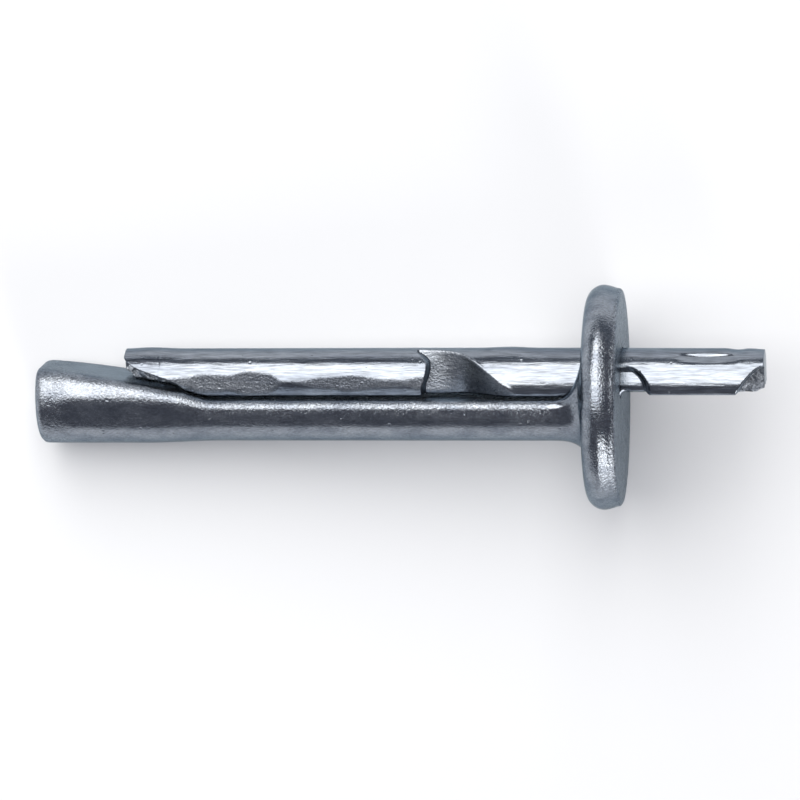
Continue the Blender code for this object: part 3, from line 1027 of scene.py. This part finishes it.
@dataclass
class PinSection:
    """Places in and around the pin, and where they lie against all that was done to its wire.

    x runs along the anchor, y is the height over the shank's flat, and z points to the near side.
    """

    pin: DrivePin
    x: Array
    y: Array
    z: Array

    @property
    def rise(self) -> Array:
        """Height over the round side's centre."""
        return self.y - self.pin.centre

    @property
    def angle(self) -> Array:
        """Angle round the pin, from the near side upwards."""
        return np.arctan2(self.rise, self.z)

    @property
    def past_head(self) -> Array:
        """How far past the head's top each place is."""
        return self.x - self.pin.body.head_thickness

    @property
    def notch_share(self) -> Array:
        """How far along the notch each place is, as a share of its length."""
        return (self.x - self.pin.notch_wall) / self.pin.notch_length

    @property
    def grip(self) -> Array:
        """Depth of the dent where the pin leaves the head, inside a rounded wall."""
        pin, angle = self.pin, self.angle
        bottom, top = pin.grip_span
        low_fade, high_fade = pin.grip_fades
        across = np.clip((angle - pin.grip_middle) / (top - pin.grip_middle), 0.0, 1.0)
        wall = pin.body.head_thickness + pin.grip_reach * np.sqrt(1 - across**2)
        inside = smooth_step((wall - self.x) / pin.grip_wall)
        fade = smooth_step((top - angle) / high_fade) * smooth_step((angle - bottom) / low_fade)
        before_top, run = pin.grip_run
        started = smooth_step((self.past_head + before_top) / run)
        return pin.grip_depth * inside * fade * started

    @property
    def lower_side(self) -> Array:
        """Height of the flat side, lifted past the head, and pressed up along its near edge by the grip."""
        pin = self.pin
        wall = pin.body.head_thickness + pin.lifted_reach * pin.grip_reach
        before_wall = smooth_step((wall - self.x) / pin.lifted_wall)
        pressed = before_wall * smooth_step(self.past_head / pin.lifted_wall)
        proud = pin.proud_lift * smooth_step(self.past_head / pin.proud_wall)
        start, width = pin.lifted_side
        near = smooth_step((self.z - start) / width)
        return pin.contact_gap + proud + pin.grip_lift * pressed * near

    @property
    def top_dent(self) -> Array:
        """Depth of the long dent along the far side of the proud end."""
        start, stop = self.pin.dent_ends
        share = np.clip((self.x - start) / (stop - start), 0.0, 1.0)
        along = np.sin(math.pi * share) ** self.pin.dent_curve
        near_rim, deepest, far_rim = self.pin.dent_angles
        far = smooth_step((far_rim - self.angle) / (far_rim - deepest))
        near = smooth_step((self.angle - near_rim) / (deepest - near_rim))
        return self.pin.dent_depth * along * np.where(self.angle > deepest, far, near)

    @property
    def scoop(self) -> Array:
        """Distance outside the long pressed faces on the near side."""
        pin = self.pin
        depth = np.where(self.x < pin.notch_wall, swing_through(self.x, pin.scoop_depths), pin.no_scoop)
        across = self.rise * math.sin(pin.scoop_angle) + self.z * math.cos(pin.scoop_angle)
        return across - (pin.radius - depth)

    @property
    def notch_floor(self) -> Array:
        """Distance over the notch's twisted floor, which climbs out towards the head."""
        pin, share = self.pin, self.notch_share
        climb = (self.x - pin.notch_wall - pin.notch_level) / (pin.notch_length - pin.notch_level)
        climb = np.clip(climb, 0.0, 1.0) ** pin.notch_climb
        depth = pin.notch_depth * (1 - smooth_step(climb)) - pin.notch_clear * (share > 1)
        turn = pin.notch_angle + pin.notch_twist * smooth_step(pin.notch_twist_speed * share)
        return self.rise * np.sin(turn) + self.z * np.cos(turn) - (pin.radius - depth)

    @property
    def notch(self) -> Array:
        """Distance into the notch: past its wall and over its floor."""
        pin, tall = self.pin, self.pin.notch_nose_height
        over_floor = self.notch_floor
        above = np.clip((self.rise - tall) / pin.notch_nose_run, 0.0, 1.0)
        below = np.clip((tall - self.rise) / tall, 0.0, 1.0)
        nose = pin.notch_nose * (above**2 + pin.notch_nose_below * below**2)
        wall = pin.notch_wall - nose + pin.notch_lean * (pin.notch_depth - over_floor)
        return np.minimum(over_floor, self.x - wall)

    @property
    def burr(self) -> Array:
        """Height of the burr that the chisel raised along the notch's edge."""
        pin, share = self.pin, self.notch_share
        along = smooth_step(share / pin.burr_start) * smooth_step((pin.burr_stop - share) / pin.burr_fade)
        return pin.burr * along * bell(self.notch_floor, -pin.burr_width, pin.burr_width)

    @property
    def lower_face(self) -> Array:
        """Distance outside the narrow lower face, which runs out over the last quarter of the notch."""
        lean, reach = self.pin.lower_face
        reach = reach + (self.pin.radius - reach) * smooth_step(4 * self.notch_share - 3)
        return self.rise * math.sin(lean) + self.z * math.cos(lean) - reach

    def sheared(self, towards: int) -> Array:
        """Distance into what shearing took off a lower corner.

        Args:
            towards: 1 at the tip, -1 at the struck end.

        Returns:
            The distances, above 0 where the metal is gone.
        """
        pin, cuts = self.pin, self.pin.shears
        end, cut, tear = pin.tip, cuts.tip_cut, cuts.tip_tear
        if towards < 0:
            end, cut, tear = pin.end, cuts.end_cut, cuts.end_tear
        inwards = towards * (self.x - end)
        low = pin.underside(self.x)
        back = cuts.back + ripple(self.x, self.y, cuts.back_waves)
        height = low + cut(inwards) - self.y - cuts.lean * (cuts.lean_from - self.z)
        torn_height, torn_slope = tear
        torn_back = inwards + ripple(self.y, self.z, cuts.torn_waves)
        torn = (low + torn_height - self.y) * torn_slope - torn_back
        return np.maximum(np.minimum(height, self.z - back), torn)

    @property
    def outside(self) -> Array:
        """Distance outside the whole pin."""
        pin = self.pin
        far = smooth_step((self.angle - pin.far_side_from) / pin.far_side_blend)
        radius = pin.radius - self.grip - self.top_dent
        radius = radius + swing_through(self.x, pin.far_side) * far
        radius = radius + self.burr - pin.stop_mark_depth * bell(self.x, *pin.stop_mark)
        solid = smooth_max(np.hypot(self.rise, self.z) - radius, self.scoop, pin.scoop_softness)
        solid = smooth_max(solid, self.notch, pin.notch_softness)
        solid = smooth_max(solid, self.lower_face, pin.lower_face_softness)
        solid = smooth_max(solid, self.lower_side - self.y, pin.edge_softness)
        solid = smooth_max(solid, pin.underside(self.x) - self.y, pin.underside_softness)
        for towards in (1, -1):
            solid = np.maximum(solid, self.sheared(towards))
        return solid


@dataclass
class Studio:
    """A pale table under one large soft lamp and a narrow low one, with a camera that looks straight down.

    The picture's half width and the camera's focal length are in pixels.
    """

    pose: RestingPose
    camera_height: float = 360 * MM
    camera_left_of_head: float = 11.99 * MM
    camera_below_axis: float = 0.39 * MM
    half_width: float = 400
    focal_length: float = 5517
    floor_size: float = 6.0
    floor_colour: Triple = (0.82, 0.84, 0.87)
    floor_roughness: float = 0.9
    floor_specular: float = 0.1
    lamp_height: float = 0.6
    lamp_across: Pair = (math.radians(-44), math.radians(13))
    lamp_away: Pair = (math.radians(-8), math.radians(65))
    lamp_radiance: float = 3.55
    lamp_colour: Triple = (1.0, 0.97, 0.93)
    kicker_across: Pair = (0.09, 0.23)
    kicker_top: float = 0.45
    kicker_distance: float = 0.5
    kicker_radiance: float = 6.5
    dark_room: Triple = (0.18, 0.185, 0.215)
    far_room: Triple = (0.22, 0.24, 0.28)
    far_away: Pair = (-0.05, 0.3)
    far_height: Pair = (0.35, 0.5)
    left_room: Triple = (0.95, 0.97, 1.0)
    left_from: Pair = (-0.75, -0.85)
    low_room: Triple = (0.5, 0.51, 0.53)
    low_height: Pair = (0.0, 0.04)

    def build(self) -> None:
        """Sets up the table, the lamps, the world and the camera."""
        self.make_floor()
        self.make_lamp()
        self.make_kicker()
        self.make_world()
        self.make_camera()

    def make_floor(self) -> None:
        """Lays the table."""
        bm = bmesh.new()
        bmesh.ops.create_grid(bm, x_segments=1, y_segments=1, size=self.floor_size / 2)
        mesh = bpy.data.meshes.new("table")
        bm.to_mesh(mesh)
        bm.free()
        table = bpy.data.objects.new("table", mesh)
        finish = bpy.data.materials.new("matt_white")
        finish.use_nodes = True
        shader = finish.node_tree.nodes["Principled BSDF"]
        shader.inputs["Base Color"].default_value = (*self.floor_colour, 1.0)
        shader.inputs["Roughness"].default_value = self.floor_roughness
        shader.inputs["Specular IOR Level"].default_value = self.floor_specular
        mesh.materials.append(finish)
        bpy.context.scene.collection.objects.link(table)

    def hang_lamp(self, name: str, size: Pair, radiance: float, matrix: Matrix) -> None:
        """Hangs one soft lamp that the camera doesn't see.

        Args:
            name: The lamp's name.
            size: Its width and height.
            radiance: How bright it looks.
            matrix: Its place. It shines along its own -Z.
        """
        lamp = bpy.data.lights.new(name, "AREA")
        lamp.shape = "RECTANGLE"
        lamp.size, lamp.size_y = size
        lamp.energy = radiance * math.pi * size[0] * size[1]
        lamp.color = self.lamp_colour
        hung = bpy.data.objects.new(name, lamp)
        hung.matrix_world = matrix
        hung.visible_camera = False
        bpy.context.scene.collection.objects.link(hung)

    def make_lamp(self) -> None:
        """Hangs the main lamp over the far side of the table."""
        left, right = (self.lamp_height * math.tan(angle) for angle in self.lamp_across)
        near, far = (self.lamp_height * math.tan(angle) for angle in self.lamp_away)
        place = Matrix.Translation(((left + right) / 2, (near + far) / 2, self.lamp_height))
        self.hang_lamp("softbox", (right - left, far - near), self.lamp_radiance, place)

    def make_kicker(self) -> None:
        """Stands a narrow lamp low on the near side, which the rim of the head reflects."""
        left, right = self.kicker_across
        middle = ((left + right) / 2, -self.kicker_distance, self.kicker_top / 2)
        place = Matrix.Translation(middle) @ Matrix.Rotation(math.pi / 2, 4, "X")
        self.hang_lamp("kicker", (right - left, self.kicker_top), self.kicker_radiance, place)

    def make_world(self) -> None:
        """Colours the room: dark, lighter low on the far side and along the horizon, pale on the left."""
        world = bpy.data.worlds.new("room")
        world.use_nodes = True
        bench = NodeBench(world.node_tree)
        where = bench.add("ShaderNodeTexCoord", {}, "Generated")
        parts = bench.tree.nodes.new("ShaderNodeSeparateXYZ")
        bench.feed(parts, {"Vector": where})
        away = bench.remap(parts.outputs["Y"], self.far_away, (0.0, 1.0))
        low = bench.remap(parts.outputs["Z"], self.far_height, (1.0, 0.0))
        left = bench.remap(parts.outputs["X"], self.left_from, (0.0, 1.0))
        horizon = bench.remap(parts.outputs["Z"], self.low_height, (1.0, 0.0))
        room = bench.blend(bench.math("MULTIPLY", away, low), (*self.dark_room, 1.0), (*self.far_room, 1.0))
        room = bench.blend(left, room, (*self.left_room, 1.0))
        room = bench.blend(horizon, room, (*self.low_room, 1.0))
        bench.feed(world.node_tree.nodes["Background"], {"Color": room})
        bpy.context.scene.world = world

    def make_camera(self) -> None:
        """Hangs the camera over the anchor."""
        lens = bpy.data.cameras.new("camera")
        lens.angle = 2 * math.atan(self.half_width / self.focal_length)
        lens.clip_start = 0.01
        camera = bpy.data.objects.new("camera", lens)
        head = self.pose.place
        over = (head.x - self.camera_left_of_head, head.y - self.camera_below_axis, self.camera_height)
        camera.location = over
        bpy.context.scene.collection.objects.link(camera)
        bpy.context.scene.camera = camera


def main() -> None:
    """Builds the studio, the body and the pin."""
    logging.basicConfig(level=logging.INFO)
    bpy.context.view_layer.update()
    pose = RestingPose()
    Studio(pose).build()
    body = AnchorBody(pose=pose)
    pin = DrivePin(body)
    forged = body.build(pin.hole())
    body.dress(forged, ZincPlate())
    LOG.info("%s: %d faces", forged.name, len(forged.data.polygons))
    pressed = pin.build()
    drawn = ZincPlate(
        grain=Grain.DRAWN,
        streak_size=0.17 * MM,
        streak_height=0.012 * MM,
        speck_height=0.05 * MM,
        # the pin's fine colour mottle: partly its own tone, partly painted glints of sparkle
        mottle_and_glints=(0.3, 0.55),
        coarse_dullness=0.24,
    )
    pin.dress(pressed, drawn)
    LOG.info("%s: %d faces", pressed.name, len(pressed.data.polygons))
    bpy.context.scene.view_settings.view_transform = "Standard"


if __name__ == "__main__":
    main()
